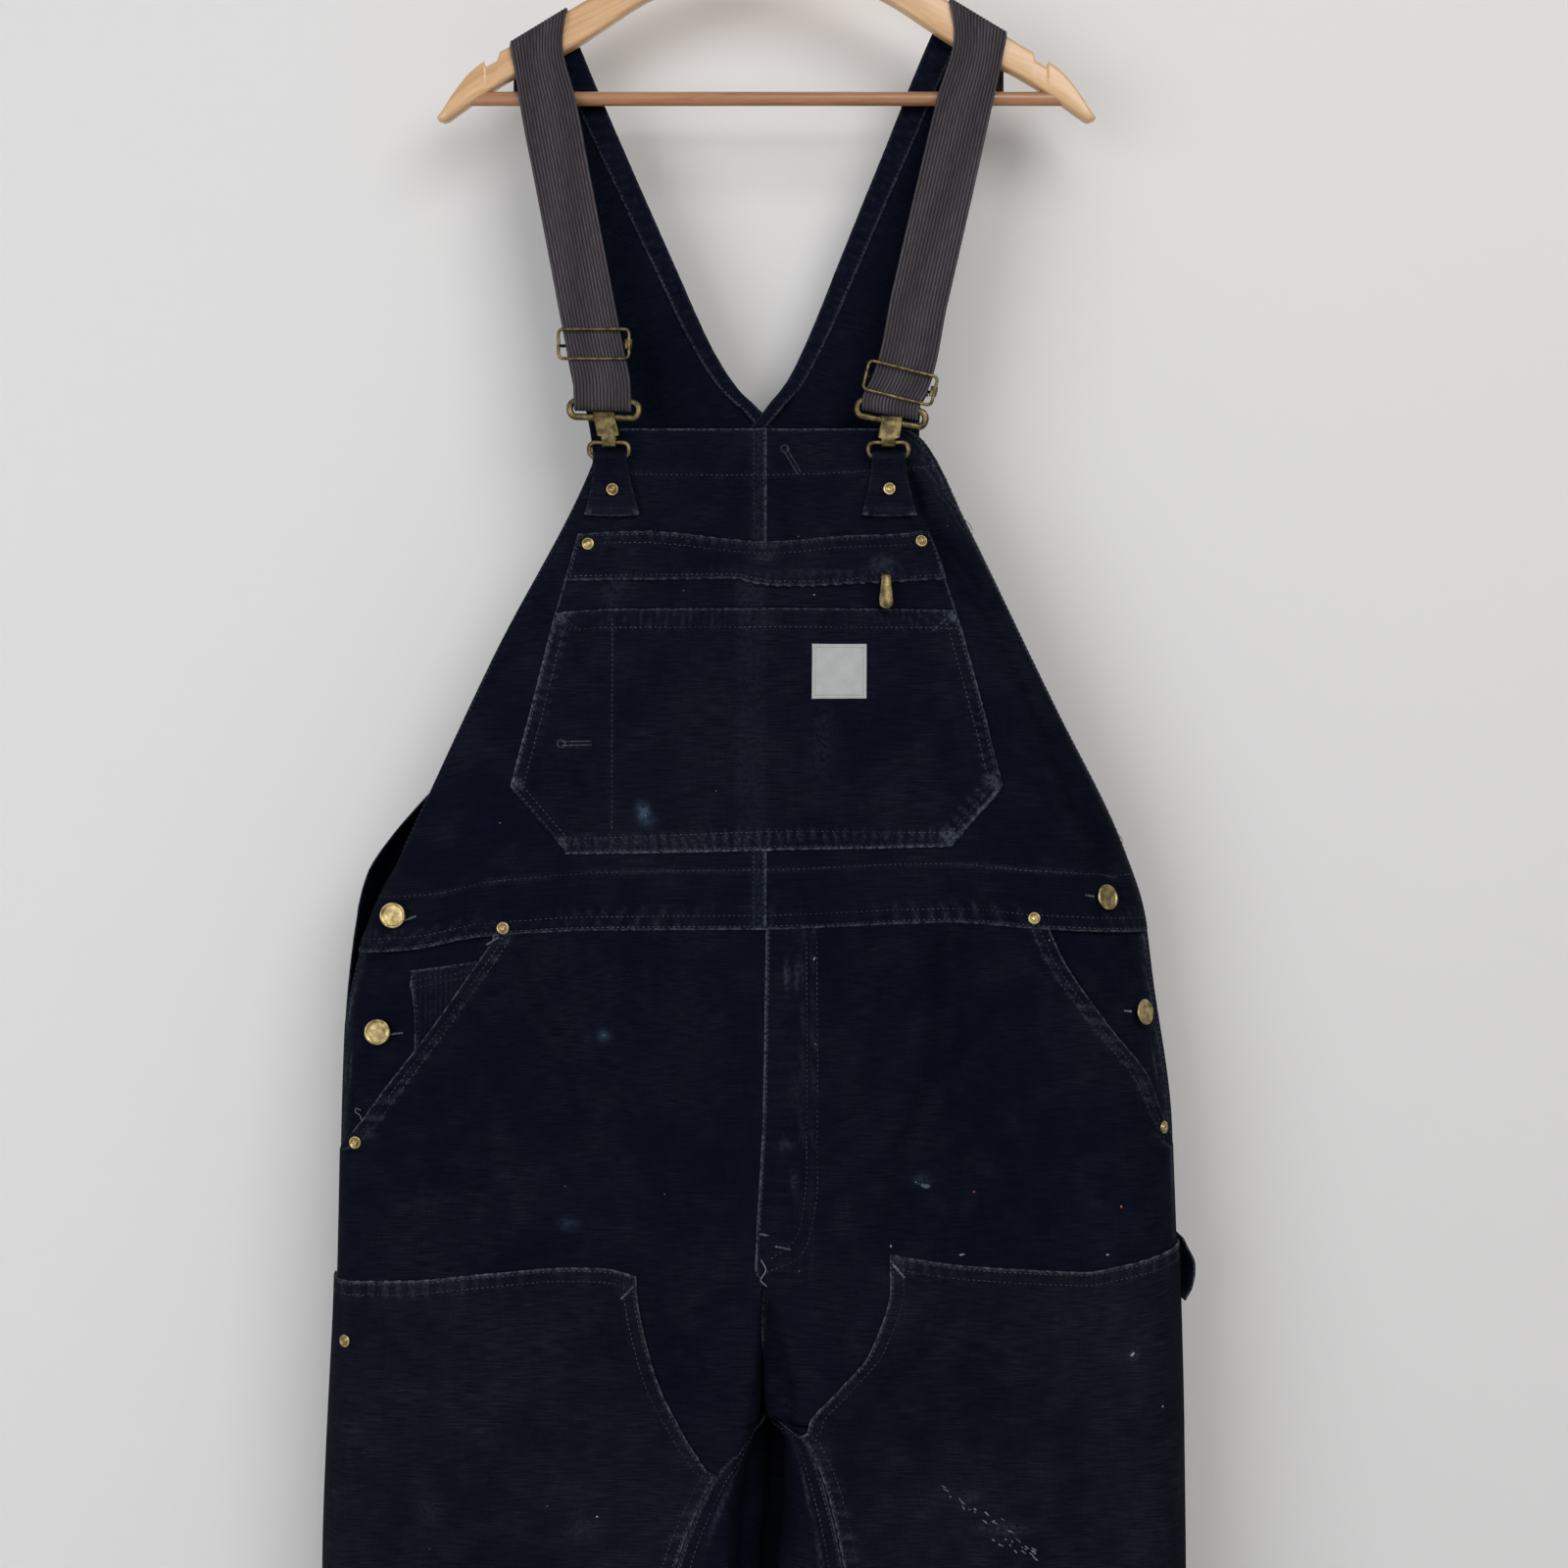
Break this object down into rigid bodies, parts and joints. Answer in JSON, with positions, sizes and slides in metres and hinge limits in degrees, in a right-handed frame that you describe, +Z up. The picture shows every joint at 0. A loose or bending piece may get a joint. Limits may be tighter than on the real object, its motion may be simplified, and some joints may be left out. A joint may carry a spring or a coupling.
{
  "type": "paint-spattered bib overalls on a wooden hanger",
  "caption": "Worn bib overalls in dark duck canvas with doubled knees, hung by elastic braces from a flat wooden hanger.",
  "frame": {"origin": "the point on top of a rail that the inside of the hanger's hook rests on", "axes": "+Z up, the front of the garment faces -Y, +X is the wearer's left"},
  "size_m": [0.5933, 0.0871, 1.8657],
  "materials": {
    "duck_canvas": "washed navy-black cotton duck, pale at the seams, matt",
    "elastic_webbing": "ribbed woven elastic, grey-brown black",
    "antique_brass": "dull antique brass, rubbed bright on its edges",
    "label_cloth": "plain grey woven patch",
    "hanger_wood": "clear-lacquered pale wood",
    "hook_steel": "plated steel wire"
  },
  "bodies": {
    "overalls": {"back_upper_left": "duck_canvas", "back_upper_right": "duck_canvas", "bib_label": "label_cloth", "bib_left": "duck_canvas", "bib_pocket_patch": "duck_canvas", "bib_pocket_zip_band": "duck_canvas", "bib_pocket_zip_flap": "duck_canvas", "bib_right": "duck_canvas", "bib_ring_left": "antique_brass", "bib_ring_right": "antique_brass", "bib_tab_left": "duck_canvas", "bib_tab_right": "duck_canvas", "bib_zip_slider": "antique_brass", "brace_adjuster_left": "antique_brass", "brace_adjuster_right": "antique_brass", "brace_clip_left": "antique_brass", "brace_clip_right": "antique_brass", "brace_left": "elastic_webbing", "brace_right": "elastic_webbing", "coin_pocket": "duck_canvas", "hammer_loop": "duck_canvas", "hanger_arms": "hanger_wood", "hanger_bar": "hanger_wood", "hanger_hook": "hook_steel", "knee_patch_left": "duck_canvas", "knee_patch_right": "duck_canvas", "pocket_facing_left": "duck_canvas", "pocket_facing_right": "duck_canvas", "rivet_bib_pocket_left": "antique_brass", "rivet_bib_pocket_right": "antique_brass", "rivet_pocket_foot_left": "antique_brass", "rivet_pocket_foot_right": "antique_brass", "rivet_pocket_top_left": "antique_brass", "rivet_pocket_top_right": "antique_brass", "rivet_side_pocket_right": "antique_brass", "rivet_tab_left": "antique_brass", "rivet_tab_right": "antique_brass", "side_button_left_lower": "antique_brass", "side_button_left_upper": "antique_brass", "side_button_right_lower": "antique_brass", "side_button_right_upper": "antique_brass", "side_pocket_left": "duck_canvas", "side_pocket_right": "duck_canvas", "trouser_back_left": "duck_canvas", "trouser_back_right": "duck_canvas", "trouser_front_left": "duck_canvas", "trouser_front_right": "duck_canvas"},
    "zip_pull": {"bib_zip_pull": "antique_brass"}
  },
  "joints": [
    {"name": "zip_pull_swing", "type": "hinge", "parent": "overalls", "child": "zip_pull", "pos_m": [0.08, -0.0326, -0.529], "axis": [-1, 0, 0], "range_deg": [0, 150]}
  ]
}
